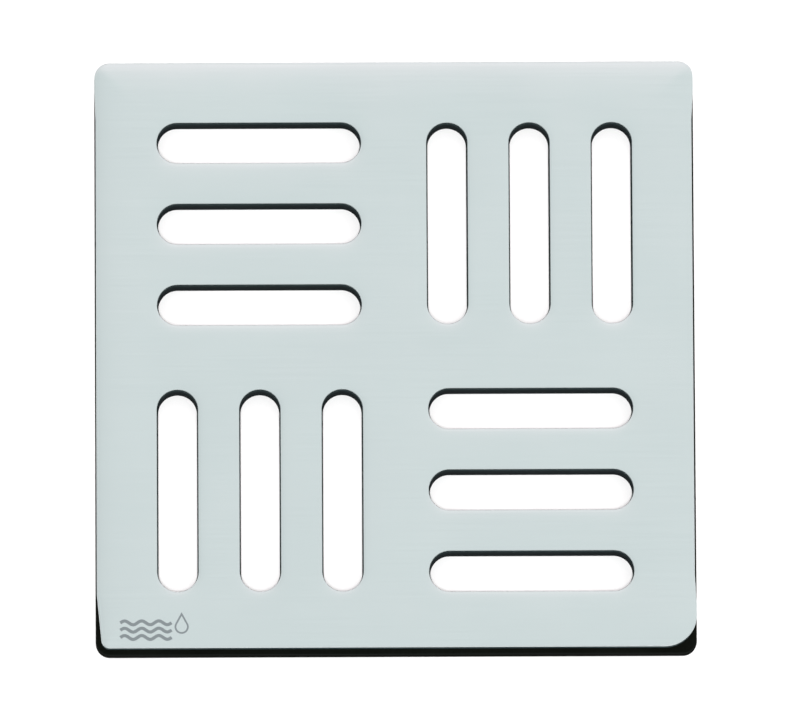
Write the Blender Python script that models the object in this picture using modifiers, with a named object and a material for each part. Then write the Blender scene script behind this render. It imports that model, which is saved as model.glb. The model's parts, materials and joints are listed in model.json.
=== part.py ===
"""Square floor drain grate, the loose cover that drops into the recess of a drain frame.

A polished steel plate with twelve slots in a basket weave sits on a black moulded carrier of
nearly the same outline and with the same slots. Four studs under the plate push into rubber
grommets in the carrier, so the plate lifts straight off. Its front edge and front corners are
cut back, which leaves a lip of the carrier where a fingertip or a blade gets under the plate.
Its sides are slightly waisted, so that it is widest beside its corners.

The origin is the middle of the underside, with +X to the right, +Y to the back and +Z up.
"""

import math

import bmesh
import bpy

MM = 0.001

# The outline, seen from above. A side of the plate keeps its full width as far as BACK_FLARE
# from the back edge and FRONT_FLARE from the front edge, and narrows over FLARE_LENGTH.
CARRIER_SIZE = 102 * MM
CARRIER_CORNER = 2.4 * MM
CORNER_LEDGE = 0.05 * MM
LEFT_LEDGE = 0.25 * MM
RIGHT_LEDGE = 0.35 * MM
BACK_LEDGE = 0.1 * MM
FRONT_LEDGE = 1.0 * MM
PLATE_BACK_CORNER = 2.5 * MM
PRY_CORNER = 5.4 * MM
RELIEF_LENGTH = 9.2 * MM
RELIEF_DEPTH = 0.75 * MM
RELIEF_CORNER = 1.4 * MM
BACK_FLARE = 5 * MM
FRONT_FLARE = 7.2 * MM
FLARE_LENGTH = 5 * MM

# The slots: four square blocks of three
SLOT_LENGTH = 34.8 * MM
SLOT_WIDTH = 7 * MM
SLOT_PITCH = 14 * MM
BLOCK_OFFSET = 23 * MM

# Heights, from the underside up
GAP = 0.3 * MM
TOTAL_HEIGHT = 5 * MM
PLATE_THICKNESS = 2 * MM
PLATE_UNDERSIDE = TOTAL_HEIGHT - PLATE_THICKNESS
CARRIER_TOP = PLATE_UNDERSIDE - GAP
EDGE_BEVEL = 0.15 * MM
BEVEL_ANGLE = math.radians(40)
OVERSHOOT = 2 * MM

# The hollows moulded into the carrier's underside
POCKET_DEPTH = 1.5 * MM
POCKET_CORNER = 1 * MM
SKIRT = 2 * MM
RIB = 1.5 * MM
CENTRE_PAD = 12 * MM

# The studs and their grommets, one pair in each corner
STUD_OFFSET = 45.3 * MM
STUD_RADIUS = 1.25 * MM
STUD_HOLE_DEPTH = 1 * MM
STUD_TIP = 0.5 * MM
STUD_CHAMFER = 0.4 * MM
GROMMET_BORE = STUD_RADIUS + GAP
GROMMET_NECK = 2.45 * MM
GROMMET_FLANGE = 3.35 * MM
GROMMET_BOTTOM = 0.2 * MM
WEB_BOTTOM = 1.05 * MM
WEB_TOP = 1.75 * MM

# How finely round stretches are divided
ARC_STEP = 15
TURN_STEPS = 24
WELD = 0.001 * MM
FLAT = math.radians(0.1)
SHARP = math.radians(30)

SIDES = {"left": -1, "right": 1}
ENDS = {"front": -1, "back": 1}


def clear_scene():
    """Removes whatever the file opened with."""
    for old in list(bpy.data.objects):
        bpy.data.objects.remove(old)


def new_collection(name):
    """A collection linked to the scene."""
    collection = bpy.data.collections.new(name)
    bpy.context.scene.collection.children.link(collection)
    return collection


def new_material(name, colour, roughness, metallic):
    """A Principled material of one colour."""
    material = bpy.data.materials.new(name)
    material.use_nodes = True
    shader = material.node_tree.nodes["Principled BSDF"]
    shader.inputs["Base Color"].default_value = (*colour, 1)
    shader.inputs["Roughness"].default_value = roughness
    shader.inputs["Metallic"].default_value = metallic
    return material


def arc(centre, radius, start, end):
    """Points along a circle from one angle to another, in degrees."""
    steps = max(1, round((end - start) / ARC_STEP))
    points = []
    for step in range(steps + 1):
        angle = math.radians(start + (end - start) * step / steps)
        points.append((centre[0] + radius * math.cos(angle), centre[1] + radius * math.sin(angle)))
    return points


def rounded_rectangle(centre, size, radius):
    """A rectangle with four equal round corners."""
    reach_x = size[0] / 2 - radius
    reach_y = size[1] / 2 - radius
    points = []
    for turn, (side, end) in enumerate(((1, 1), (-1, 1), (-1, -1), (1, -1))):
        corner = (centre[0] + side * reach_x, centre[1] + end * reach_y)
        points += arc(corner, radius, 90 * turn, 90 * turn + 90)
    return points


def obround(centre, across):
    """One slot, with round ends, lying along X or else along Y."""
    x, y = centre
    reach = (SLOT_LENGTH - SLOT_WIDTH) / 2
    radius = SLOT_WIDTH / 2
    if across:
        return arc((x + reach, y), radius, -90, 90) + arc((x - reach, y), radius, 90, 270)
    return arc((x, y + reach), radius, 0, 180) + arc((x, y - reach), radius, 180, 360)


def block_strips(offsets):
    """The centres of parallel strips in all four blocks, and whether each lies along X."""
    strips = []
    for side in SIDES.values():
        for end in ENDS.values():
            across = side != end
            for offset in offsets:
                shift = (0, offset) if across else (offset, 0)
                centre = (side * BLOCK_OFFSET + shift[0], end * BLOCK_OFFSET + shift[1])
                strips.append((centre, across))
    return strips


def slot_outlines():
    """All twelve slots. The blocks turn a quarter from each to the next, like a basket weave."""
    return [obround(centre, across) for centre, across in block_strips((-SLOT_PITCH, 0, SLOT_PITCH))]


def plate_outline():
    """The plate's edge: equal back corners, a wide front right one and a relieved front left."""
    wide = CARRIER_SIZE / 2 - CORNER_LEDGE
    left = LEFT_LEDGE - CARRIER_SIZE / 2
    right = CARRIER_SIZE / 2 - RIGHT_LEDGE
    front = FRONT_LEDGE - CARRIER_SIZE / 2
    back = CARRIER_SIZE / 2 - BACK_LEDGE
    back_flare = back - BACK_FLARE
    front_flare = front + FRONT_FLARE
    relief_centre = (left + RELIEF_DEPTH + RELIEF_CORNER, front + RELIEF_CORNER)
    taper = math.degrees(math.atan2(RELIEF_DEPTH, RELIEF_LENGTH))
    points = arc((wide - PLATE_BACK_CORNER, back - PLATE_BACK_CORNER), PLATE_BACK_CORNER, 0, 90)
    points += arc((PLATE_BACK_CORNER - wide, back - PLATE_BACK_CORNER), PLATE_BACK_CORNER, 90, 180)
    points += [(-wide, back_flare), (left, back_flare - FLARE_LENGTH), (left, front + RELIEF_LENGTH)]
    points += arc(relief_centre, RELIEF_CORNER, 180 + taper, 270)
    points += arc((wide - PRY_CORNER, front + PRY_CORNER), PRY_CORNER, 270, 360)
    points += [(wide, front_flare), (right, front_flare + FLARE_LENGTH)]
    points += [(right, back_flare - FLARE_LENGTH), (wide, back_flare)]
    return points


def pocket_outlines():
    """The hollows under the carrier: between the slots, in the cross and along the skirt."""
    strip = SLOT_PITCH - SLOT_WIDTH - 2 * RIB
    strip_length = SLOT_LENGTH - SLOT_WIDTH
    outlines = []
    for centre, across in block_strips((-SLOT_PITCH / 2, SLOT_PITCH / 2)):
        size = (strip_length, strip) if across else (strip, strip_length)
        outlines.append(rounded_rectangle(centre, size, POCKET_CORNER))

    block_near = BLOCK_OFFSET - SLOT_LENGTH / 2
    block_far = BLOCK_OFFSET + SLOT_LENGTH / 2
    arm_width = 2 * (block_near - RIB)
    arm_length = block_far - CENTRE_PAD / 2
    arm_centre = (block_far + CENTRE_PAD / 2) / 2
    margin_near = block_far + RIB
    margin_far = CARRIER_SIZE / 2 - SKIRT
    margin_width = margin_far - margin_near
    margin_centre = (margin_far + margin_near) / 2
    for sign in (-1, 1):
        arm = (arm_width, arm_length)
        outlines.append(rounded_rectangle((0, sign * arm_centre), arm, POCKET_CORNER))
        outlines.append(rounded_rectangle((sign * arm_centre, 0), arm[::-1], POCKET_CORNER))
        for end in (-1, 1):
            margin = (margin_width, SLOT_LENGTH)
            along = end * BLOCK_OFFSET
            outlines.append(rounded_rectangle((sign * margin_centre, along), margin, POCKET_CORNER))
            outlines.append(rounded_rectangle((along, sign * margin_centre), margin[::-1], POCKET_CORNER))
    return outlines


def flat_solid(name, outlines, bottom, top, collection):
    """A mesh holding one or more flat outlines, solid between two heights."""
    curve = bpy.data.curves.new(name, "CURVE")
    curve.dimensions = "2D"
    curve.fill_mode = "BOTH"
    curve.extrude = (top - bottom) / 2
    for outline in outlines:
        spline = curve.splines.new("POLY")
        spline.points.add(len(outline) - 1)
        for point, (x, y) in zip(spline.points, outline):
            point.co = (x, y, 0, 1)
        spline.use_cyclic_u = True
    flat = bpy.data.objects.new(name, curve)
    collection.objects.link(flat)
    flat.location.z = (top + bottom) / 2
    depsgraph = bpy.context.evaluated_depsgraph_get()
    mesh = bpy.data.meshes.new_from_object(flat.evaluated_get(depsgraph))
    placed = flat.matrix_world.copy()
    bpy.data.objects.remove(flat)

    shell = bmesh.new()
    shell.from_mesh(mesh)
    bmesh.ops.remove_doubles(shell, verts=shell.verts, dist=WELD)
    bmesh.ops.dissolve_limit(shell, angle_limit=FLAT, verts=shell.verts, edges=shell.edges)
    shell.to_mesh(mesh)
    shell.free()
    mesh.shade_smooth()
    mesh.set_sharp_from_angle(angle=SHARP)
    mesh.name = name
    solid = bpy.data.objects.new(name, mesh)
    collection.objects.link(solid)
    solid.matrix_world = placed
    return solid


def turned_mesh(name, profile, closed):
    """A mesh holding a profile in the XZ plane, for a Screw modifier to turn about Z."""
    mesh = bpy.data.meshes.new(name)
    points = [(x, 0, z) for x, z in profile]
    edges = [(first, first + 1) for first in range(len(points) - 1)]
    if closed:
        edges.append((len(points) - 1, 0))
    mesh.from_pydata(points, edges, [])
    return mesh


def turned(name, mesh, place, collection):
    """An object that turns a shared profile about a vertical axis at a place."""
    solid = bpy.data.objects.new(name, mesh)
    collection.objects.link(solid)
    solid.location = (*place, 0)
    screw = solid.modifiers.new("turn", "SCREW")
    screw.steps = TURN_STEPS
    screw.render_steps = TURN_STEPS
    screw.use_merge_vertices = True
    screw.merge_threshold = WELD
    screw.use_smooth_shade = True
    return solid


def add_bevel(solid):
    """Takes the sharp corner off every rim."""
    bevel = solid.modifiers.new("rims", "BEVEL")
    bevel.width = EDGE_BEVEL
    bevel.segments = 1
    bevel.limit_method = "ANGLE"
    bevel.angle_limit = BEVEL_ANGLE


def cut(solid, cutter):
    """Takes one solid away from another."""
    cutter.hide_render = True
    cutter.display_type = "WIRE"
    boolean = solid.modifiers.new(cutter.name, "BOOLEAN")
    boolean.operation = "DIFFERENCE"
    boolean.solver = "EXACT"
    boolean.object = cutter


def corner_places():
    """The name and the place of each of the four stud positions."""
    places = {}
    for end_name, end in ENDS.items():
        for side_name, side in SIDES.items():
            places[f"{end_name}_{side_name}"] = (side * STUD_OFFSET, end * STUD_OFFSET)
    return places


def make_plate(parts, cutters, slots, steel):
    """The polished plate, with a blind hole over each stud."""
    plate = flat_solid("top_plate", [plate_outline()], PLATE_UNDERSIDE, TOTAL_HEIGHT, parts)
    cut(plate, slots)
    add_bevel(plate)
    radius = STUD_RADIUS + GAP
    roof = PLATE_UNDERSIDE + STUD_HOLE_DEPTH
    hole = turned_mesh("stud_hole", [(0, roof), (radius, roof), (radius, 0), (0, 0)], False)
    for corner, place in corner_places().items():
        cut(plate, turned(f"stud_hole_{corner}", hole, place, cutters))
    plate.data.materials.append(steel)
    return plate


def make_carrier(parts, cutters, slots, plastic):
    """The moulded carrier, hollowed from below and with a stepped hole for each grommet."""
    edge = rounded_rectangle((0, 0), (CARRIER_SIZE, CARRIER_SIZE), CARRIER_CORNER)
    carrier = flat_solid("carrier", [edge], 0, CARRIER_TOP, parts)
    cut(carrier, slots)
    add_bevel(carrier)
    cut(carrier, flat_solid("pockets", pocket_outlines(), -OVERSHOOT, POCKET_DEPTH, cutters))
    wide = GROMMET_FLANGE + GAP
    narrow = GROMMET_NECK + GAP
    above = CARRIER_TOP + OVERSHOOT
    below = -OVERSHOOT
    profile = [
        (0, above),
        (wide, above),
        (wide, WEB_TOP),
        (narrow, WEB_TOP),
        (narrow, WEB_BOTTOM),
        (wide, WEB_BOTTOM),
        (wide, below),
        (0, below),
    ]
    hole = turned_mesh("grommet_hole", profile, False)
    for corner, place in corner_places().items():
        cut(carrier, turned(f"grommet_hole_{corner}", hole, place, cutters))
    carrier.data.materials.append(plastic)
    return carrier


def make_studs(parts, steel):
    """Four plain studs with a chamfered tip, whose tops stand in the plate's blind holes."""
    top = PLATE_UNDERSIDE + STUD_HOLE_DEPTH - GAP
    tip_radius = STUD_RADIUS - STUD_CHAMFER
    shoulder = STUD_TIP + STUD_CHAMFER
    profile = [(0, top), (STUD_RADIUS, top), (STUD_RADIUS, shoulder), (tip_radius, STUD_TIP), (0, STUD_TIP)]
    mesh = turned_mesh("plate_stud", profile, False)
    mesh.materials.append(steel)
    return [turned(f"plate_stud_{corner}", mesh, place, parts) for corner, place in corner_places().items()]


def make_grommets(parts, rubber):
    """Four rubber rings with a groove that holds the carrier's web."""
    groove_top = WEB_TOP + GAP
    groove_bottom = WEB_BOTTOM - GAP
    profile = [
        (GROMMET_BORE, CARRIER_TOP),
        (GROMMET_FLANGE, CARRIER_TOP),
        (GROMMET_FLANGE, groove_top),
        (GROMMET_NECK, groove_top),
        (GROMMET_NECK, groove_bottom),
        (GROMMET_FLANGE, groove_bottom),
        (GROMMET_FLANGE, GROMMET_BOTTOM),
        (GROMMET_BORE, GROMMET_BOTTOM),
    ]
    mesh = turned_mesh("stud_grommet", profile, True)
    mesh.materials.append(rubber)
    for corner, place in corner_places().items():
        turned(f"stud_grommet_{corner}", mesh, place, parts)


def main():
    clear_scene()
    parts = new_collection("floor_drain_grate")
    cutters = new_collection("cutters")
    polished = new_material("polished_steel", (0.62, 0.69, 0.69), 0.18, 1)
    stud_steel = new_material("stud_steel", (0.55, 0.56, 0.57), 0.35, 1)
    plastic = new_material("black_plastic", (0.012, 0.015, 0.014), 0.45, 0)
    rubber = new_material("grommet_rubber", (0.03, 0.03, 0.03), 0.8, 0)

    lift = bpy.data.objects.new("plate_lift", None)
    parts.objects.link(lift)
    slots = flat_solid("slots", slot_outlines(), -OVERSHOOT, TOTAL_HEIGHT + OVERSHOOT, cutters)
    lifted = [make_plate(parts, cutters, slots, polished), *make_studs(parts, stud_steel)]
    for piece in lifted:
        piece.parent = lift
    make_carrier(parts, cutters, slots, plastic)
    make_grommets(parts, rubber)


main()
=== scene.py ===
"""The looks of the floor drain grate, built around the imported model.

The plate, the carrier, the studs and the grommets are made again as finer meshes in the places
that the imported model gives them. All lengths are in metres, with +Z up.
"""

import json
import math

import bmesh
import bpy
from mathutils import Matrix, Vector
from mathutils.geometry import delaunay_2d_cdt


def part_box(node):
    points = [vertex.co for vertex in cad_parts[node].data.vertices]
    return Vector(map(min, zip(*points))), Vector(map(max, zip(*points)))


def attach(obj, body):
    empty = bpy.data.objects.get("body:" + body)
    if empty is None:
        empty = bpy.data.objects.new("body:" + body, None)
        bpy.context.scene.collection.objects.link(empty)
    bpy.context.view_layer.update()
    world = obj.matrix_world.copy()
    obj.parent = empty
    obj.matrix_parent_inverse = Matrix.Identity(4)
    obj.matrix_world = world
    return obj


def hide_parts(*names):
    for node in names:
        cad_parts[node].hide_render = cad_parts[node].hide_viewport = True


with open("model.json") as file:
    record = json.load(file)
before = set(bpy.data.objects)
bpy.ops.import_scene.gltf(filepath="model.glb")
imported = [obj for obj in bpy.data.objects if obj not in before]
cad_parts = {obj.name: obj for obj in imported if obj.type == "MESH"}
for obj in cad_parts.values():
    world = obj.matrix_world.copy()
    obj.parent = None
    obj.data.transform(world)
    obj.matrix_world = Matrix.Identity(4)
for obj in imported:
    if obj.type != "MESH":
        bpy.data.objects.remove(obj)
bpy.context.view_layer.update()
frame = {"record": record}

MM = 0.001
CORNERS = ("front_left", "front_right", "back_left", "back_right")

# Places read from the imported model
PLATE_LOW, PLATE_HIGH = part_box("top_plate")
CARRIER_LOW, CARRIER_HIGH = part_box("carrier")
STUD_BOXES = {corner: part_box(f"plate_stud_{corner}") for corner in CORNERS}

# The slots and the outlines. A side of the plate keeps its full width as far as BACK_FLARE
# from the back edge and FRONT_FLARE from the front edge, and narrows over FLARE_LENGTH.
SLOT_LENGTH = 34.8 * MM
SLOT_WIDTH = 7 * MM
PLATE_BACK_CORNER = 2.5 * MM
PRY_CORNER = 5.4 * MM
RELIEF_LENGTH = 9.2 * MM
RELIEF_DEPTH = 0.75 * MM
RELIEF_CORNER = 1.4 * MM
LEFT_WAIST = 0.2 * MM
RIGHT_WAIST = 0.3 * MM
BACK_FLARE = 5 * MM
FRONT_FLARE = 7.2 * MM
FLARE_LENGTH = 5 * MM
LEAST_CORNER = 0.6 * MM
CARRIER_CORNER = 2.4 * MM

# Rounded rims: how far they reach, how finely they and all other arcs are divided, and how far
# inside each rim a supporting ring lies
PLATE_RIM = 0.22 * MM
SLOT_RIM = 0.1 * MM
LOWER_RIM = 0.08 * MM
CARRIER_RIM = 0.15 * MM
RIM_STEPS = 5
SUPPORT = 0.05 * MM
ARC_STEP = 5
SOFT_STEPS = 4

# The kind of flat fill that keeps what is inside its outline, and the distance in millimetres
# below which it merges points
FILL_INSIDE = 1
FILL_MERGE = 1e-7

# The plate's face falls away softly towards its outer edge and towards its slots
FALL = 0.21 * MM
FALL_REACH = 3 * MM
FALL_RINGS = tuple(inset * MM for inset in (0.45, 0.8, 1.2, 1.7, 2.3, 3, 3.8, 4.8, 6))
SLOT_FALL = 0.075 * MM
SLOT_FALL_REACH = 1.1 * MM
SLOT_FALL_RINGS = tuple(grow * MM for grow in (0.3, 0.5, 0.8, 1.2, 1.7, 2.4, 3.2))

# The material slots of the plate's mesh and of the carrier's
POLISHED, CUT, MILL = range(3)
# The carrier's second slot holds the slot walls' black, painted lighter and bluer as painted light
EXPOSED, LIT_SLOT_WALLS, SATIN = range(3)

# The carrier: its seam to the plate, its slots' step inside the plate's, its outer wall, its
# pockets, and the marks that the ejectors and the gate leave
SEAM = 0.05 * MM
LAND_INSET = 0.6 * MM
SLOT_STEP = 0.2 * MM
PARTING_HEIGHT = 1.2 * MM
PARTING_RIDGE = 0.04 * MM
POCKET_DEPTH = 1.5 * MM
POCKET_CORNER = 1 * MM
POCKET_DRAFT = 0.05 * MM
POCKET_FILLET = 0.35 * MM
SKIRT = 2 * MM
RIB = 1.5 * MM
CENTRE_PAD = 12 * MM
EJECTOR_RADIUS = 1.4 * MM
EJECTOR_DEPTH = 0.06 * MM
EJECTOR_SPACING = 22 * MM
EJECTOR_ROOM = 3 * EJECTOR_RADIUS
GATE_PROFILE = tuple((r * MM, z * MM) for r, z in ((2.2, 0), (2.05, 0.35), (0.75, 0.35), (0.6, 0.1)))

# Studs: a chamfered tip, a groove given as heights and depths, a weld fillet, and how far the
# top goes into the plate
STUD_TIP_RING = 0.3 * MM
STUD_CHAMFER = 0.4 * MM
STUD_GROOVE = ((-0.25 * MM, 0), (-0.1 * MM, 0.09 * MM), (0.1 * MM, 0.09 * MM), (0.25 * MM, 0))
STUD_SOFT = 0.08 * MM
WELD = 0.4 * MM
STUD_SUNK = 0.05 * MM

# Grommets: two flanges, a neck inside the carrier's web, and a bore with a bead and a lead-in
GROMMET_FLANGE = 3.35 * MM
GROMMET_NECK = 2.45 * MM
GROMMET_SOFT = 0.15 * MM
WEB_BOTTOM = 1.05 * MM
WEB_TOP = 1.75 * MM
SNUG = 0.04 * MM
BORE_MOUTH = 0.45 * MM
BORE_MOUTH_HEIGHT = 0.4 * MM
BORE_LEAD_IN = 0.6 * MM
BEAD_REACH = 0.2 * MM
BEAD_RISE = 0.03 * MM

# How finely turned pieces are divided, and the angle from which an edge is shaded sharp
TURNED_SEGMENTS = 64
SHARP = math.radians(40)

# The etched mark at the front left: rows of waves, and a drop beside them
MARK_PROUD = 0.008 * MM
MARK_SINK = 0.3 * MM
WAVE_ROWS = (-48.2 * MM, -46.95 * MM, -45.7 * MM)
WAVE_START = -46.8 * MM
WAVE_LENGTH = 2.9 * MM
WAVE_HEIGHT = 0.33 * MM
WAVE_STROKE = 0.55 * MM
WAVE_COUNT = 3
WAVE_STEPS = 14
DROP_CENTRE = (-36.4 * MM, -46.4 * MM)
DROP_RADIUS = 1.2 * MM
DROP_TIP = 2.5 * MM
DROP_STROKE = 0.3 * MM

# The view: a long lens, tilted off vertical towards the front and a little to the left
VIEW_TILT_FRONT = 10
VIEW_TILT_LEFT = 0.5
VIEW_ROLL = -0.3
VIEW_TARGET = (-0.43 * MM, -0.46 * MM)
VIEW_DISTANCE = 3.5
VIEW_WIDTH = 133.35 * MM
SENSOR = 36

# The studio's light: an axis, the stretch of it over which the light changes, and both colours
STUDIO_HEIGHT = ("Z", (0.2, 0.8), (0.6, 0.6, 0.6), (1, 1, 1))
STUDIO_BEHIND = ("Y", (0.2, 0.4), (0, 0, 0), (0.47, 0.27, 0.3))
STUDIO_OVERHEAD = ("Z", (0.6, 0.8), (0, 0, 0), (1, 1, 1))
STUDIO_LEFT = ("X", (-0.18, -0.04), (-0.14, -0.14, -0.14), (0, 0, 0))

# The key lamp: its strength, and how wide it looks in degrees
KEY_STRENGTH = 2.4
KEY_SPREAD = 8

# The floor: how far it reaches each way, and how far it lies below the grate
FLOOR_REACH = 6
FLOOR_DROP = 0.05 * MM

# The carrier's three blacks, in the order of its material slots: dark, light and specular level
BLACKS = {
    "exposed_plastic": ((0.0022, 0.0026, 0.002), (0.0062, 0.0074, 0.0058), 0.002),
    # Painted light: the slot walls' black is lighter and bluer than the edge's, and stands in for the
    # light on the walls inside the slots
    "lit_slot_wall_plastic": ((0.010, 0.014, 0.015), (0.017, 0.023, 0.025), 0.002),
    "satin_plastic": ((0.007, 0.009, 0.009), (0.015, 0.018, 0.018), 0.3),
}

# Sockets that share their names with others on the same node
MIX_SHARE, MIX_FIRST, MIX_SECOND = 0, 6, 7
MIX_RESULT = 2
RANGE_FROM_LOW, RANGE_FROM_HIGH, RANGE_TO_LOW, RANGE_TO_HIGH = range(7, 11)


# Outlines -------------------------------------------------------------------------------------


def arc(centre, radius, start, end):
    """Points along a circle from one angle to another, in degrees."""
    steps = max(1, round((end - start) / ARC_STEP))
    points = []
    for step in range(steps + 1):
        angle = math.radians(start + (end - start) * step / steps)
        points.append((centre[0] + radius * math.cos(angle), centre[1] + radius * math.sin(angle)))
    return points


def circle(centre, radius):
    """A full circle, without the point that would close it."""
    return arc(centre, radius, 0, 360)[:-1]


def rounded_rectangle(centre, size, radius, grow=0):
    """A rectangle with four equal round corners, moved outwards all round by grow."""
    reach_x = size[0] / 2 - radius
    reach_y = size[1] / 2 - radius
    points = []
    for turn, (side, end) in enumerate(((1, 1), (-1, 1), (-1, -1), (1, -1))):
        corner = (centre[0] + side * reach_x, centre[1] + end * reach_y)
        points += arc(corner, radius + grow, 90 * turn, 90 * turn + 90)
    return points


def obround(centre, across, grow=0):
    """One slot, with round ends, lying along X or else along Y, moved outwards by grow."""
    x, y = centre
    reach = (SLOT_LENGTH - SLOT_WIDTH) / 2
    radius = SLOT_WIDTH / 2 + grow
    if across:
        return arc((x + reach, y), radius, -90, 90) + arc((x - reach, y), radius, 90, 270)
    return arc((x, y + reach), radius, 0, 180) + arc((x, y - reach), radius, 180, 360)


def plate_outline(inset):
    """The plate's edge, moved inwards: equal back corners, a wide front right one, a relieved left."""
    left = PLATE_LOW.x + inset
    right = PLATE_HIGH.x - inset
    front = PLATE_LOW.y + inset
    back = PLATE_HIGH.y - inset
    back_radius = max(PLATE_BACK_CORNER - inset, LEAST_CORNER)
    pry_radius = max(PRY_CORNER - inset, LEAST_CORNER)
    relief_radius = max(RELIEF_CORNER - inset, LEAST_CORNER)
    back_flare = back - BACK_FLARE
    front_flare = front + FRONT_FLARE
    left_waist = left + LEFT_WAIST
    right_waist = right - RIGHT_WAIST
    relief_centre = (left_waist + RELIEF_DEPTH + relief_radius, front + relief_radius)
    taper = math.degrees(math.atan2(RELIEF_DEPTH, RELIEF_LENGTH))
    points = arc((right - back_radius, back - back_radius), back_radius, 0, 90)
    points += arc((left + back_radius, back - back_radius), back_radius, 90, 180)
    points += [(left, back_flare), (left_waist, back_flare - FLARE_LENGTH)]
    points.append((left_waist, front + RELIEF_LENGTH))
    points += arc(relief_centre, relief_radius, 180 + taper, 270)
    points += arc((right - pry_radius, front + pry_radius), pry_radius, 270, 360)
    points += [(right, front_flare), (right_waist, front_flare + FLARE_LENGTH)]
    points += [(right_waist, back_flare - FLARE_LENGTH), (right, back_flare)]
    return points


def wave(row):
    """A wavy stroke along X, about one row."""
    upper = []
    lower = []
    for step in range(WAVE_COUNT * WAVE_STEPS + 1):
        angle = math.tau * step / WAVE_STEPS
        slope = WAVE_HEIGHT * math.cos(angle) * math.tau / WAVE_LENGTH
        across = Vector((-slope, 1)).normalized() * WAVE_STROKE / 2
        along = WAVE_START + WAVE_LENGTH * step / WAVE_STEPS
        middle = Vector((along, row + WAVE_HEIGHT * math.sin(angle)))
        upper.append(tuple(middle + across))
        lower.append(tuple(middle - across))
    return upper + lower[::-1]


def drop(inset):
    """A water drop's outline, moved inwards."""
    radius = DROP_RADIUS - inset
    tip = DROP_TIP * radius / DROP_RADIUS
    spread = math.degrees(math.acos(radius / tip))
    outline = arc(DROP_CENTRE, radius, 90 + spread, 450 - spread)
    outline.append((DROP_CENTRE[0], DROP_CENTRE[1] + tip))
    return outline


def carrier_outline(inset):
    """The carrier's square edge, moved inwards."""
    size = CARRIER_HIGH - CARRIER_LOW
    return rounded_rectangle((0, 0), (size.x, size.y), CARRIER_CORNER, -inset)


def find_slots():
    """Each slot's centre and whether it lies along X, from the openings in the record."""
    found = []
    for opening in frame["record"]["physics"]["openings"]:
        low, high = (Vector(corner) for corner in opening["box_m"])
        middle = (low + high) / 2
        found.append(((middle.x, middle.y), high.x - low.x > high.y - low.y))
    return found


def find_blocks(slots):
    """The middle of each block of three slots, whether its slots lie along X, and their pitch."""
    blocks = []
    for side in (-1, 1):
        for end in (-1, 1):
            block = [(x, y, across) for (x, y), across in slots if x * side > 0 and y * end > 0]
            columns, rows, (across, *_) = zip(*block)
            middle = (sum(columns) / len(block), sum(rows) / len(block))
            steps = sorted(rows if across else columns)
            blocks.append((middle, across, steps[1] - steps[0]))
    return blocks


def find_pockets(blocks):
    """The carrier's hollows, as centre and size: between the slots, in the cross, by the skirt."""
    found = []
    strip_length = SLOT_LENGTH - SLOT_WIDTH
    for (x, y), across, pitch in blocks:
        strip = pitch - SLOT_WIDTH - 2 * RIB
        for shift in (-pitch / 2, pitch / 2):
            if across:
                found.append(((x, y + shift), (strip_length, strip)))
            else:
                found.append(((x + shift, y), (strip, strip_length)))

    (block_x, _), _, _ = blocks[0]
    offset = abs(block_x)
    near = offset - SLOT_LENGTH / 2
    far = offset + SLOT_LENGTH / 2
    arm = (2 * (near - RIB), far - CENTRE_PAD / 2)
    arm_centre = (far + CENTRE_PAD / 2) / 2
    margin_near = far + RIB
    margin_far = CARRIER_HIGH.x - SKIRT
    margin = (margin_far - margin_near, SLOT_LENGTH)
    margin_centre = (margin_far + margin_near) / 2
    for sign in (-1, 1):
        found.append(((0, sign * arm_centre), arm))
        found.append(((sign * arm_centre, 0), arm[::-1]))
        for end in (-1, 1):
            found.append(((sign * margin_centre, end * offset), margin))
            found.append(((end * offset, sign * margin_centre), margin[::-1]))
    return found


# Mesh building ----------------------------------------------------------------------------------


def is_inside(point, outline):
    """True if a point lies within a closed outline, by counting the edges to its right."""
    x, y = point
    within = False
    for index, (x1, y1) in enumerate(outline):
        x2, y2 = outline[index - 1]
        if (y1 > y) != (y2 > y) and x < (x2 - x1) * (y - y1) / (y2 - y1) + x1:
            within = not within
    return within


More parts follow.
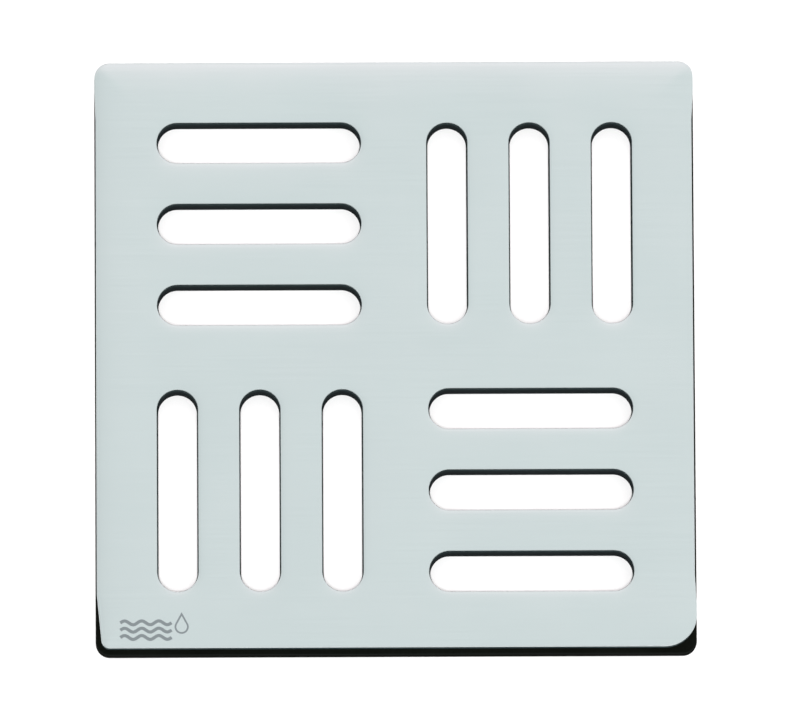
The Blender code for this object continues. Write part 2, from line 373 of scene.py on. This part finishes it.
class Shell:
    """A closed mesh made of rings of points, sewn to each other with quads and filled when flat."""

    def __init__(self):
        self.mesh = bmesh.new()
        self.wall = self.mesh.loops.layers.uv.new("wall")
        self.wear = self.mesh.verts.layers.float.new("wear")

    def ring(self, outline, height, wear=0.0):
        """A new ring of points at one height. wear says how much it is rubbed."""
        made = []
        for x, y in outline:
            vertex = self.mesh.verts.new((x, y, height))
            vertex[self.wear] = wear
            made.append(vertex)
        return made

    def sew(self, first, second, material=0):
        """Quads between two rings with equally many points, with the way round stored as a UV."""
        along = 0.0
        for index, start in enumerate(first):
            after = (index + 1) % len(first)
            step = (first[after].co - start.co).length
            face = self.mesh.faces.new((start, first[after], second[after], second[index]))
            face.material_index = material
            for loop, reach in zip(face.loops, (along, along + step, along + step, along)):
                loop[self.wall].uv = (reach, loop.vert.co.z)
            along += step

    def sew_all(self, rings, material=0):
        """Sews each ring to the next."""
        for first, second in zip(rings, rings[1:]):
            self.sew(first, second, material)

    def fill(self, edge, holes=(), material=0):
        """Flat triangles inside one ring and outside the others."""
        points = []
        links = []
        corners = []
        for ring in (edge, *holes):
            start = len(points)
            points += [vertex.co.xy / MM for vertex in ring]
            corners += ring
            links += [(start + index, start + (index + 1) % len(ring)) for index in range(len(ring))]
        outlines = [[tuple(vertex.co.xy / MM) for vertex in hole] for hole in holes]
        vertices, _, faces, sources, _, _ = delaunay_2d_cdt(points, links, [], FILL_INSIDE, FILL_MERGE)
        for face in faces:
            middle = sum((vertices[index] for index in face), Vector((0, 0))) / len(face)
            if not any(is_inside(middle, outline) for outline in outlines):
                made = self.mesh.faces.new([corners[sources[index][0]] for index in face])
                made.material_index = material

    def rim(self, outline, height, radius, down):
        """Rings from a flat face over a rounded rim to a wall.

        outline takes a distance from the wall into the piece. down is 1 for an upper rim and -1
        for a lower one.
        """
        rings = [self.ring(outline(radius + SUPPORT), height)]
        for step in range(RIM_STEPS + 1):
            angle = math.pi / 2 * step / RIM_STEPS
            depth = radius * (1 - math.cos(angle))
            reach = radius * (1 - math.sin(angle))
            rings.append(self.ring(outline(reach), height - down * depth, math.sin(2 * angle)))
        return rings

    def finish(self, name, materials):
        """The mesh as a smooth object in the scene, facing out."""
        bmesh.ops.recalc_face_normals(self.mesh, faces=self.mesh.faces)
        data = bpy.data.meshes.new(name)
        self.mesh.to_mesh(data)
        self.mesh.free()
        data.shade_smooth()
        data.set_sharp_from_angle(angle=SHARP)
        for material in materials:
            data.materials.append(material)
        made = bpy.data.objects.new(name, data)
        bpy.context.scene.collection.objects.link(made)
        return made


def softened(profile, reach, closed):
    """A profile whose corners are rounded with short curves that start a little way before them.

    Each point gets a third number, how much it is rubbed, which is most in the middle of a curve.
    """
    points = []
    for index, corner in enumerate(profile):
        before = Vector(profile[index - 1])
        after = Vector(profile[(index + 1) % len(profile)])
        corner = Vector(corner)
        if not closed and index in (0, len(profile) - 1):
            points.append((*corner, 0.0))
            continue
        start = corner + (before - corner).normalized() * min(reach, (before - corner).length / 2)
        end = corner + (after - corner).normalized() * min(reach, (after - corner).length / 2)
        for step in range(SOFT_STEPS + 1):
            share = step / SOFT_STEPS
            point = start.lerp(corner, share).lerp(corner.lerp(end, share), share)
            points.append((*point, math.sin(math.pi * share)))
    return points


def turned(name, profile, place, closed, material):
    """An object made by turning a profile of radius, height and wear about a vertical axis."""
    shell = Shell()
    rings = []
    for radius, height, wear in profile:
        points = []
        for step in range(TURNED_SEGMENTS):
            angle = math.tau * step / TURNED_SEGMENTS
            points.append((place.x + radius * math.cos(angle), place.y + radius * math.sin(angle)))
        rings.append(shell.ring(points, height, wear))
    shell.sew_all(rings)
    if closed:
        shell.sew(rings[-1], rings[0])
    else:
        shell.fill(rings[0])
        shell.fill(rings[-1])
    return shell.finish(name, [material])


# Materials ------------------------------------------------------------------------------------


class Finish:
    """A material being made, with short calls that add nodes to it."""

    def __init__(self, name, settings):
        self.material = bpy.data.materials.new(name)
        self.material.use_nodes = True
        self.tree = self.material.node_tree
        self.shader = self.tree.nodes["Principled BSDF"]
        for socket, value in settings.items():
            self.shader.inputs[socket].default_value = value

    def add(self, kind, inputs, **settings):
        """A new node. An input is given a value, or another node's output to link to."""
        node = self.tree.nodes.new(kind)
        for name, value in settings.items():
            setattr(node, name, value)
        for name, value in inputs.items():
            if isinstance(value, bpy.types.NodeSocket):
                self.tree.links.new(value, node.inputs[name])
            else:
                node.inputs[name].default_value = value
        return node

    def noise(self, size, detail=2.0, wall=False, seed=0.0):
        """Soft noise between 0 and 1, whose features measure size along each axis.

        wall lays it out along the way round a wall and up it, instead of in space.
        """
        if wall:
            place = self.add("ShaderNodeUVMap", {}, uv_map="wall").outputs["UV"]
        else:
            place = self.add("ShaderNodeTexCoord", {}).outputs["Object"]
        layout = {"Vector": place, "Scale": [1 / length for length in size], "Location": (seed,) * 3}
        shifted = self.add("ShaderNodeMapping", layout).outputs[0]
        texture = self.add("ShaderNodeTexNoise", {"Vector": shifted, "Scale": 1, "Detail": detail})
        return texture.outputs[0]

    def wear(self):
        """How much each rim is rubbed."""
        return self.add("ShaderNodeAttribute", {}, attribute_name="wear").outputs["Fac"]

    def span(self, value, low, high, start=0.25, end=0.75):
        """A value between start and end, turned into one between low and high."""
        limits = {"Value": value, "From Min": start, "From Max": end, "To Min": low, "To Max": high}
        return self.add("ShaderNodeMapRange", limits).outputs["Result"]

    def sum(self, first, second):
        """Two values added."""
        return self.add("ShaderNodeMath", {0: first, 1: second}, operation="ADD").outputs[0]

    def product(self, first, second):
        """Two values multiplied."""
        return self.add("ShaderNodeMath", {0: first, 1: second}, operation="MULTIPLY").outputs[0]

    def colours(self, value, first, second, start=0.25, end=0.75):
        """A colour from first to second as a value goes from start to end."""
        node = self.add("ShaderNodeValToRGB", {"Fac": value})
        for element, place, colour in zip(node.color_ramp.elements, (start, end), (first, second)):
            element.position = place
            element.color = (*colour, 1)
        return node.outputs["Color"]

    def rubbed(self, colour, share, bare):
        """A colour that goes a share of the way to a bare one where the surface is rubbed."""
        node = self.add("ShaderNodeMix", {}, data_type="RGBA")
        self.tree.links.new(self.product(self.wear(), share), node.inputs[MIX_SHARE])
        self.tree.links.new(colour, node.inputs[MIX_FIRST])
        node.inputs[MIX_SECOND].default_value = (*bare, 1)
        return node.outputs[MIX_RESULT]

    def bump(self, heights):
        """A normal from several heights between 0 and 1, each with its real depth."""
        normal = None
        for height, depth in heights:
            node = self.add("ShaderNodeBump", {"Height": height, "Distance": depth})
            if normal:
                self.tree.links.new(normal, node.inputs["Normal"])
            normal = node.outputs["Normal"]
        return normal

    def finish(self, colour, roughness, heights):
        """Links the patterns to the shader, and returns the material."""
        self.tree.links.new(colour, self.shader.inputs["Base Color"])
        self.tree.links.new(roughness, self.shader.inputs["Roughness"])
        self.tree.links.new(self.bump(heights), self.shader.inputs["Normal"])
        return self.material


def polished_steel():
    """Polished sheet: faint hairlines along X, slow waves in the sheet, and rubbed rims."""
    steel = Finish("polished_steel", {"Metallic": 1})
    clouds = steel.noise((24 * MM, 16 * MM, 24 * MM), 3)
    hairlines = steel.noise((18 * MM, 0.3 * MM, 18 * MM), 2, seed=3)
    smudges = steel.noise((9 * MM, 12 * MM, 9 * MM), 4, seed=7)
    tone = steel.sum(steel.product(clouds, 0.6), steel.product(hairlines, 0.4))
    colour = steel.colours(tone, (0.602, 0.685, 0.688), (0.626, 0.708, 0.710), 0.35, 0.65)
    colour = steel.rubbed(colour, 0.5, (0.70, 0.76, 0.77))
    roughness = steel.sum(steel.span(smudges, 0.13, 0.2), steel.product(steel.wear(), 0.1))
    waves = steel.noise((14 * MM, 11 * MM, 14 * MM), 1, seed=11)
    return steel.finish(colour, roughness, [(hairlines, 0.0012 * MM), (waves, 0.02 * MM)])


def cut_edge():
    """The dull dark wall that a laser leaves, with its fine upright ripples."""
    edge = Finish("cut_edge", {"Metallic": 0, "Specular IOR Level": 0})
    ripples = edge.noise((0.22 * MM, 3 * MM, 1), 3, wall=True)
    stains = edge.noise((5 * MM, 2 * MM, 1), 3, wall=True, seed=5)
    tone = edge.sum(edge.product(ripples, 0.5), edge.product(stains, 0.5))
    colour = edge.colours(tone, (0.034, 0.048, 0.050), (0.060, 0.084, 0.087), 0.3, 0.7)
    return edge.finish(colour, edge.span(stains, 0.5, 0.7), [(ripples, 0.012 * MM)])


def etched_steel():
    """The matt grey of an etched mark, with a fine grain."""
    etch = Finish("etched_steel", {"Metallic": 1})
    grain = etch.noise((0.12 * MM, 0.12 * MM, 0.12 * MM), 3)
    patches = etch.noise((2 * MM, 2 * MM, 2 * MM), 3, seed=8)
    tone = etch.sum(etch.product(grain, 0.5), etch.product(patches, 0.5))
    colour = etch.colours(tone, (0.28, 0.33, 0.345), (0.32, 0.37, 0.385), 0.3, 0.7)
    return etch.finish(colour, etch.span(patches, 0.5, 0.6), [(grain, 0.003 * MM)])


def black_plastic(name, dark, light, specular):
    """Moulded plastic with a fine spark-eroded grain, a little rubbed along its rims."""
    plastic = Finish(name, {"Metallic": 0, "Specular IOR Level": specular})
    grain = plastic.noise((0.24 * MM, 0.24 * MM, 0.24 * MM), 3)
    flow = plastic.noise((12 * MM, 12 * MM, 3 * MM), 3, seed=2)
    tone = plastic.sum(plastic.product(grain, 0.5), plastic.product(flow, 0.5))
    colour = plastic.colours(tone, dark, light, 0.3, 0.7)
    colour = plastic.rubbed(colour, 0.35, (0.02, 0.023, 0.022))
    return plastic.finish(colour, plastic.span(flow, 0.58, 0.72), [(grain, 0.008 * MM)])


def stud_steel():
    """Turned steel: rings from the lathe, over a patchy dull surface."""
    steel = Finish("stud_steel", {"Metallic": 1})
    rings = steel.noise((6 * MM, 6 * MM, 0.09 * MM), 2)
    patches = steel.noise((1.5 * MM, 1.5 * MM, 1.5 * MM), 3, seed=4)
    tone = steel.sum(steel.product(rings, 0.5), steel.product(patches, 0.5))
    colour = steel.colours(tone, (0.46, 0.47, 0.48), (0.60, 0.61, 0.62), 0.3, 0.7)
    colour = steel.rubbed(colour, 0.6, (0.72, 0.73, 0.74))
    roughness = steel.sum(steel.span(patches, 0.28, 0.42), steel.product(steel.wear(), -0.1))
    return steel.finish(colour, roughness, [(rings, 0.006 * MM)])


def grommet_rubber():
    """Soft matt rubber with a dusty bloom."""
    rubber = Finish("grommet_rubber", {"Metallic": 0, "Specular IOR Level": 0.1})
    grain = rubber.noise((0.15 * MM, 0.15 * MM, 0.15 * MM), 3)
    bloom = rubber.noise((1.6 * MM, 1.6 * MM, 1.6 * MM), 4, seed=6)
    colour = rubber.colours(bloom, (0.014, 0.014, 0.015), (0.034, 0.034, 0.035), 0.3, 0.7)
    colour = rubber.rubbed(colour, 0.6, (0.06, 0.06, 0.058))
    return rubber.finish(colour, rubber.span(bloom, 0.75, 0.9), [(grain, 0.01 * MM)])


def mill_steel():
    """The plate's underside, left as it was rolled: duller, with broad marks along Y."""
    steel = Finish("mill_steel", {"Metallic": 1})
    marks = steel.noise((0.5 * MM, 25 * MM, 25 * MM), 3)
    patches = steel.noise((10 * MM, 14 * MM, 10 * MM), 4, seed=9)
    tone = steel.sum(steel.product(marks, 0.5), steel.product(patches, 0.5))
    colour = steel.colours(tone, (0.50, 0.53, 0.53), (0.58, 0.61, 0.61), 0.3, 0.7)
    colour = steel.rubbed(colour, 0.6, (0.68, 0.71, 0.71))
    return steel.finish(colour, steel.span(patches, 0.32, 0.45), [(marks, 0.004 * MM)])


def pale_floor():
    """A plain pale floor with a trace of unevenness."""
    floor = Finish("pale_floor", {"Metallic": 0, "Specular IOR Level": 0.1})
    tone = floor.noise((60 * MM, 60 * MM, 60 * MM), 2)
    colour = floor.colours(tone, (0.89, 0.89, 0.89), (0.91, 0.91, 0.91))
    return floor.finish(colour, floor.span(tone, 0.75, 0.85), [(tone, 0.01 * MM)])


# Pieces -----------------------------------------------------------------------------------------


def fallen(distance, fall, reach, furthest):
    """The height of the plate's face at a distance from an edge that it falls away towards."""
    share = math.exp(-distance / reach) - math.exp(-furthest / reach)
    return PLATE_HIGH.z - MARK_PROUD - fall * max(share, 0)


def face_height(inset):
    """The height of the plate's face at a distance inwards from its outer edge."""
    return fallen(inset, FALL, FALL_REACH, FALL_RINGS[-1])


def lip_height(grow):
    """The height of the plate's face at a distance outwards from a slot."""
    return fallen(grow, SLOT_FALL, SLOT_FALL_REACH, SLOT_FALL_RINGS[-1])


def make_plate(slots, polish, cut, mill):
    """The polished plate, with rounded rims, dull cut edges and a plain underside."""
    shell = Shell()
    bottom = PLATE_LOW.z
    outer = [shell.ring(plate_outline(inset), face_height(inset)) for inset in FALL_RINGS[::-1]]
    outer += shell.rim(plate_outline, face_height(PLATE_RIM), PLATE_RIM, 1)
    shell.sew_all(outer, POLISHED)
    lower = shell.rim(plate_outline, bottom, LOWER_RIM, -1)[::-1]
    shell.sew(outer[-1], lower[0], CUT)
    shell.sew_all(lower, MILL)

    slot_tops = []
    slot_bottoms = []
    for centre, across in slots:

        def outline(grow):
            return obround(centre, across, grow)

        upper = [shell.ring(outline(grow), lip_height(grow)) for grow in SLOT_FALL_RINGS[::-1]]
        upper += shell.rim(outline, lip_height(SLOT_RIM), SLOT_RIM, 1)
        under = shell.rim(outline, bottom, LOWER_RIM, -1)[::-1]
        shell.sew_all(upper, POLISHED)
        shell.sew(upper[-1], under[0], CUT)
        shell.sew_all(under, MILL)
        slot_tops.append(upper[0])
        slot_bottoms.append(under[-1])
    shell.fill(outer[0], slot_tops, POLISHED)
    shell.fill(lower[-1], slot_bottoms, MILL)
    plate = shell.finish("plate_skin", [polish, cut, mill])
    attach(plate, "plate")
    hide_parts("top_plate")


def mark_rings(shell, outline):
    """A stroke's wall, just proud of the sloping face. Returns its top and bottom rings."""
    top = shell.ring(outline, 0)
    for vertex in top:
        inset = min(vertex.co.x - PLATE_LOW.x - LEFT_WAIST, vertex.co.y - PLATE_LOW.y)
        vertex.co.z = face_height(inset) + MARK_PROUD
    bottom = shell.ring(outline, PLATE_HIGH.z - MARK_SINK)
    shell.sew(top, bottom)
    return top, bottom


def make_mark(etch):
    """The etched mark, as thin strokes let into the plate's face."""
    shell = Shell()
    for row in WAVE_ROWS:
        for ring in mark_rings(shell, wave(row)):
            shell.fill(ring)
    outer = mark_rings(shell, drop(0))
    inner = mark_rings(shell, drop(DROP_STROKE))
    for edge, hole in zip(outer, inner):
        shell.fill(edge, [hole])
    mark = shell.finish("etched_mark", [etch])
    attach(mark, "plate")


def carrier_edge(shell, top, bottom):
    """The outer wall, with a fine parting ridge round it. Returns the top and bottom rings."""

    def inner_outline(inset):
        return carrier_outline(inset + PARTING_RIDGE)

    rings = shell.rim(inner_outline, top, CARRIER_RIM, 1)
    for height, inset in ((1, PARTING_RIDGE), (0, 0), (-1, PARTING_RIDGE)):
        rings.append(shell.ring(carrier_outline(inset), PARTING_HEIGHT + height * PARTING_RIDGE))
    rings += shell.rim(inner_outline, bottom, CARRIER_RIM, -1)[::-1]
    shell.sew_all(rings, EXPOSED)
    return rings[0], rings[-1]


def carrier_stud_hole(shell, place, top, bottom):
    """A hole with a web halfway that the grommet grips. Returns the top and bottom rings."""
    wide = GROMMET_FLANGE + SNUG
    narrow = GROMMET_NECK + SNUG

    def outline(grow):
        return circle(place, wide + grow)

    rings = shell.rim(outline, top, CARRIER_RIM, 1)
    web = ((wide, WEB_TOP), (narrow, WEB_TOP), (narrow, WEB_BOTTOM), (wide, WEB_BOTTOM))
    rings += [shell.ring(circle(place, radius), height) for radius, height in web]
    rings += shell.rim(outline, bottom, CARRIER_RIM, -1)[::-1]
    shell.sew_all(rings, SATIN)
    return rings[0], rings[-1]


def carrier_pocket(shell, centre, size, bottom):
    """A drafted pocket with a filleted ceiling and two ejector marks. Returns its bottom ring."""

    def outline(grow):
        return rounded_rectangle(centre, size, POCKET_CORNER, grow)

    ceiling = bottom + POCKET_DEPTH
    rings = shell.rim(outline, bottom, CARRIER_RIM, -1)
    for step in range(RIM_STEPS + 1):
        angle = math.pi / 2 * step / RIM_STEPS
        inset = POCKET_DRAFT + POCKET_FILLET * (1 - math.cos(angle))
        rings.append(shell.ring(outline(-inset), ceiling - POCKET_FILLET * (1 - math.sin(angle))))
    shell.sew_all(rings, SATIN)

    marks = []
    if min(size) > EJECTOR_ROOM:
        along = Vector((1, 0)) if size[0] > size[1] else Vector((0, 1))
        for side in (-1, 1):
            place = Vector(centre) + side * EJECTOR_SPACING / 2 * along
            edge = shell.ring(circle(place, EJECTOR_RADIUS), ceiling)
            sunk = shell.ring(circle(place, EJECTOR_RADIUS - EJECTOR_DEPTH), ceiling + EJECTOR_DEPTH)
            shell.sew(edge, sunk, SATIN)
            shell.fill(sunk, (), SATIN)
            marks.append(edge)
    shell.fill(rings[-1], marks, SATIN)
    return rings[0]


def make_carrier(slots, pockets, blacks):
    """The moulded carrier, with its slots, stud holes, pockets and the gate's mark below.

    Its edge and its ledge are dull, its slot walls carry painted light as a lighter, bluer black, and
    the land under the plate and the underside are satin.
    """
    shell = Shell()
    top = PLATE_LOW.z - SEAM
    bottom = CARRIER_LOW.z
    edge_top, edge_bottom = carrier_edge(shell, top, bottom)
    top_holes = []
    bottom_holes = []
    for centre, across in slots:

        def outline(grow):
            return obround(centre, across, grow - SLOT_STEP)

        rings = shell.rim(outline, top, CARRIER_RIM, 1)
        rings += shell.rim(outline, bottom, CARRIER_RIM, -1)[::-1]
        # The slot walls get the lighter, bluer black, which is painted light inside the slots
        shell.sew_all(rings, LIT_SLOT_WALLS)
        top_holes.append(rings[0])
        bottom_holes.append(rings[-1])
    for low, high in STUD_BOXES.values():
        above, below = carrier_stud_hole(shell, (low + high) / 2, top, bottom)
        top_holes.append(above)
        bottom_holes.append(below)
    for centre, size in pockets:
        bottom_holes.append(carrier_pocket(shell, centre, size, bottom))
    gate = [shell.ring(circle((0, 0), radius), bottom + height) for radius, height in GATE_PROFILE]
    shell.sew_all(gate, SATIN)
    shell.fill(gate[-1], (), SATIN)
    bottom_holes.append(gate[0])
    land = shell.ring(plate_outline(LAND_INSET), top)
    shell.fill(edge_top, [land], EXPOSED)
    shell.fill(land, top_holes, SATIN)
    shell.fill(edge_bottom, bottom_holes, SATIN)
    carrier = shell.finish("carrier_skin", blacks)
    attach(carrier, "carrier")
    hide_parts("carrier")


def stud_profile(low, high):
    """A pin with a chamfered tip, a groove for the grommet's bead, and a weld fillet at the top."""
    radius = (high.x - low.x) / 2
    groove = (WEB_BOTTOM + WEB_TOP) / 2
    plate = PLATE_LOW.z
    profile = [(STUD_TIP_RING, low.z), (radius - STUD_CHAMFER, low.z), (radius, low.z + STUD_CHAMFER)]
    profile += [(radius - depth, groove + height) for height, depth in STUD_GROOVE]
    profile = softened(profile, STUD_SOFT, False)
    for step in range(RIM_STEPS + 1):
        angle = math.pi / 2 * step / RIM_STEPS
        reach = radius + WELD * (1 - math.cos(angle))
        profile.append((reach, plate - WELD * (1 - math.sin(angle)), 0.0))
    profile.append((radius + WELD, plate + STUD_SUNK, 0.0))
    return profile


def grommet_profile(radius):
    """A ring round a stud: two flanges, a groove between them, and a bead inside the bore."""
    bore = radius + SNUG
    low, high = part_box(f"stud_grommet_{CORNERS[0]}")
    top = high.z + SEAM
    groove = (WEB_BOTTOM + WEB_TOP) / 2
    profile = [
        (bore + BORE_MOUTH, low.z),
        (bore, low.z + BORE_MOUTH_HEIGHT),
        (bore, groove - BEAD_REACH),
        (bore - BEAD_RISE, groove),
        (bore, groove + BEAD_REACH),
        (bore, top - BORE_LEAD_IN),
        (bore + BORE_LEAD_IN, top),
        (GROMMET_FLANGE, top),
        (GROMMET_FLANGE, WEB_TOP + SNUG / 2),
        (GROMMET_NECK, WEB_TOP + SNUG / 2),
        (GROMMET_NECK, WEB_BOTTOM - SNUG / 2),
        (GROMMET_FLANGE, WEB_BOTTOM - SNUG / 2),
        (GROMMET_FLANGE, low.z),
    ]
    return softened(profile, GROMMET_SOFT, True)


def make_studs_and_grommets(steel, rubber):
    """A stud and its grommet in each corner."""
    for corner, (low, high) in STUD_BOXES.items():
        place = (low + high) / 2
        stud = turned(f"stud_{corner}", stud_profile(low, high), place, False, steel)
        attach(stud, "plate")
        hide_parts(f"plate_stud_{corner}")
        profile = grommet_profile((high.x - low.x) / 2)
        grommet = turned(f"grommet_{corner}", profile, place, True, rubber)
        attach(grommet, "carrier")
        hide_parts(f"stud_grommet_{corner}")


# Stage ------------------------------------------------------------------------------------------


def view_direction():
    """The direction from the grate towards the camera."""
    side = -math.tan(math.radians(VIEW_TILT_LEFT))
    front = -math.tan(math.radians(VIEW_TILT_FRONT))
    return Vector((side, front, 1)).normalized()


def facing(direction, roll=0):
    """The rotation of something that looks against a direction, with the back edge at the top."""
    right = Vector((0, 1, 0)).cross(direction).normalized()
    upright = Matrix((right, direction.cross(right), direction)).transposed()
    return (upright @ Matrix.Rotation(math.radians(roll), 3, "Z")).to_quaternion()


def make_camera():
    """A long lens above the grate."""
    data = bpy.data.cameras.new("camera")
    data.sensor_width = SENSOR
    data.lens = SENSOR * VIEW_DISTANCE / VIEW_WIDTH
    camera = bpy.data.objects.new("camera", data)
    bpy.context.scene.collection.objects.link(camera)
    camera.location = Vector((*VIEW_TARGET, PLATE_HIGH.z)) + VIEW_DISTANCE * view_direction()
    camera.rotation_mode = "QUATERNION"
    camera.rotation_quaternion = facing(view_direction(), VIEW_ROLL)
    bpy.context.scene.camera = camera


def studio_ramp(tree, direction, axis, span, low, high):
    """A smooth change from one colour of light to another, along one axis of a direction."""
    ramp = tree.nodes.new("ShaderNodeMapRange")
    ramp.data_type = "FLOAT_VECTOR"
    ramp.interpolation_type = "SMOOTHSTEP"
    tree.links.new(direction.outputs[axis], ramp.inputs["Vector"])
    ramp.inputs[RANGE_FROM_LOW].default_value = (span[0],) * 3
    ramp.inputs[RANGE_FROM_HIGH].default_value = (span[1],) * 3
    ramp.inputs[RANGE_TO_LOW].default_value = low
    ramp.inputs[RANGE_TO_HIGH].default_value = high
    return ramp.outputs["Vector"]


def joined(tree, operation, first, second):
    """Two colours of light, added or multiplied."""
    node = tree.nodes.new("ShaderNodeVectorMath")
    node.operation = operation
    tree.links.new(first, node.inputs[0])
    tree.links.new(second, node.inputs[1])
    return node.outputs[0]


def make_world():
    """A white studio: dimmer low down and on the left, with a brighter lamp overhead and behind."""
    world = bpy.data.worlds.new("studio")
    bpy.context.scene.world = world
    world.use_nodes = True
    tree = world.node_tree
    direction = tree.nodes.new("ShaderNodeSeparateXYZ")
    tree.links.new(tree.nodes.new("ShaderNodeTexCoord").outputs["Generated"], direction.inputs[0])
    height = studio_ramp(tree, direction, *STUDIO_HEIGHT)
    behind = studio_ramp(tree, direction, *STUDIO_BEHIND)
    overhead = studio_ramp(tree, direction, *STUDIO_OVERHEAD)
    left = studio_ramp(tree, direction, *STUDIO_LEFT)
    walls = joined(tree, "ADD", height, left)
    lamp = joined(tree, "MULTIPLY", behind, overhead)
    tree.links.new(joined(tree, "ADD", walls, lamp), tree.nodes["Background"].inputs["Color"])


def make_key():
    """A soft lamp from where the camera stands, which shows in no reflection."""
    data = bpy.data.lights.new("key", "SUN")
    data.energy = KEY_STRENGTH
    data.angle = math.radians(KEY_SPREAD)
    key = bpy.data.objects.new("key", data)
    bpy.context.scene.collection.objects.link(key)
    key.rotation_mode = "QUATERNION"
    key.rotation_quaternion = facing(view_direction())
    key.visible_glossy = False


def make_floor():
    """A plain pale floor under the grate."""
    shell = Shell()
    edge = [(x * FLOOR_REACH, y * FLOOR_REACH) for x, y in ((1, 1), (-1, 1), (-1, -1), (1, -1))]
    shell.fill(shell.ring(edge, CARRIER_LOW.z - FLOOR_DROP))
    shell.finish("floor", [pale_floor()])


def main():
    """Sets up the view, the light and the floor, and makes every piece."""
    bpy.context.scene.view_settings.view_transform = "Standard"
    make_camera()
    make_world()
    make_key()
    make_floor()
    slots = find_slots()
    pockets = find_pockets(find_blocks(slots))
    make_plate(slots, polished_steel(), cut_edge(), mill_steel())
    make_mark(etched_steel())
    make_carrier(slots, pockets, [black_plastic(name, *look) for name, look in BLACKS.items()])
    make_studs_and_grommets(stud_steel(), grommet_rubber())


main()
